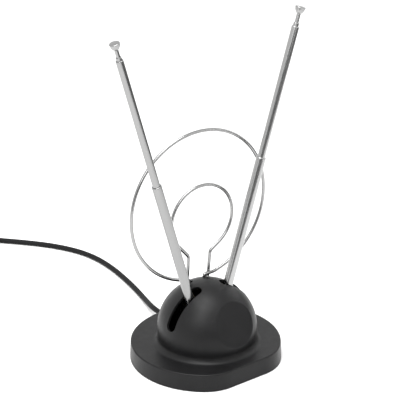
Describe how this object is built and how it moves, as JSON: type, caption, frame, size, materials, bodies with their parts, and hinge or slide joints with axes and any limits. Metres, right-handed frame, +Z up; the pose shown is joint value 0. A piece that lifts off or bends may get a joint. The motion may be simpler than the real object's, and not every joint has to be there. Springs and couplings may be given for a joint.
{
  "type": "rabbit ears antenna",
  "caption": "Indoor television antenna: domed base, telescopic rods that swing and slide, a double wire loop and a coaxial lead.",
  "frame": {"origin": "centre of the non-slip pad's underside, on the floor under the dome's centre", "axes": "+Z up; the flat front of the base looks a few degrees from -Y towards +X; the rods swing towards -X and +X; the lead leaves at +Y"},
  "size_m": [0.2104, 0.3769, 0.2877],
  "materials": {
    "black_plastic": "fine satin texture",
    "brass": "plain",
    "bronze": "spring bronze",
    "cable_jacket": "smooth PVC",
    "cast_zinc": "cast",
    "chrome": "bright",
    "circuit_board": "phenolic board",
    "coil_tie": "satin",
    "copper_wire": "enamelled copper",
    "ferrite": "ceramic",
    "lead_insulation": "wire insulation",
    "loop_wire": "bright",
    "nickel": "satin nickel",
    "pad_rubber": "matt foam",
    "pin_copper": "bare copper",
    "steel_plate": "plain",
    "zinc_steel": "zinc plated"
  },
  "bodies": {
    "root": {"housing": "black_plastic", "base_plate": "black_plastic", "base_pad": "pad_rubber", "ballast_plate": "steel_plate", "base_screws": "zinc_steel", "carrier_screws": "zinc_steel", "bracket_screws": "zinc_steel", "pivot_screws": "zinc_steel", "pivot_nuts": "zinc_steel", "spring_washers": "zinc_steel", "terminal_screws": "zinc_steel", "board_screws": "zinc_steel", "rod_carrier": "black_plastic", "left_bracket": "brass", "right_bracket": "brass", "loop_terminals": "brass", "circuit_board": "circuit_board", "balun_core": "ferrite", "balun_winding": "copper_wire", "rod_leads": "lead_insulation", "loop_leads": "lead_insulation", "coax_tail": "cable_jacket", "cable": "cable_jacket", "cable_coil": "cable_jacket", "cable_end": "cable_jacket", "strain_relief": "cable_jacket", "outer_loop": "loop_wire", "inner_loop": "loop_wire", "coil_tie": "coil_tie", "plug_sleeve": "nickel", "plug_nut": "nickel", "plug_pin": "pin_copper"},
    "left_rod": {"left_rod_foot": "cast_zinc", "left_section_1": "chrome"},
    "left_tube_2": {"left_section_2": "chrome", "left_sleeve_2": "bronze"},
    "left_tube_3": {"left_section_3": "chrome", "left_sleeve_3": "bronze"},
    "left_tube_4": {"left_section_4": "chrome", "left_sleeve_4": "bronze", "left_tip": "chrome"},
    "right_rod": {"right_rod_foot": "cast_zinc", "right_section_1": "chrome"},
    "right_tube_2": {"right_section_2": "chrome", "right_sleeve_2": "bronze"},
    "right_tube_3": {"right_section_3": "chrome", "right_sleeve_3": "bronze"},
    "right_tube_4": {"right_section_4": "chrome", "right_sleeve_4": "bronze", "right_tip": "chrome"}
  },
  "joints": [
    {"name": "left_swing", "type": "hinge", "parent": "root", "child": "left_rod", "pos_m": [-0.0104, -0.0044, 0.0274], "axis": [0, -1, 0], "range_deg": [-5.15, 46.85]},
    {"name": "left_slide_2", "type": "slide", "parent": "left_rod", "child": "left_tube_2", "axis": [-0.2782, 0, 0.9605], "range_m": [-0.1084, 0.0056]},
    {"name": "left_slide_3", "type": "slide", "parent": "left_tube_2", "child": "left_tube_3", "axis": [-0.2782, 0, 0.9605], "range_m": [-0.0018, 0.1112]},
    {"name": "left_slide_4", "type": "slide", "parent": "left_tube_3", "child": "left_tube_4", "axis": [-0.2782, 0, 0.9605], "range_m": [-0.0053, 0.1052]},
    {"name": "right_swing", "type": "hinge", "parent": "root", "child": "right_rod", "pos_m": [0.0066, -0.0044, 0.0274], "axis": [0, 1, 0], "range_deg": [-5.9, 46.1]},
    {"name": "right_slide_2", "type": "slide", "parent": "right_rod", "child": "right_tube_2", "axis": [0.2907, 0, 0.9568], "range_m": [-0.10345, 0.01055]},
    {"name": "right_slide_3", "type": "slide", "parent": "right_tube_2", "child": "right_tube_3", "axis": [0.2907, 0, 0.9568], "range_m": [-0.00195, 0.11105]},
    {"name": "right_slide_4", "type": "slide", "parent": "right_tube_3", "child": "right_tube_4", "axis": [0.2907, 0, 0.9568], "range_m": [-0.0063, 0.1042]}
  ]
}
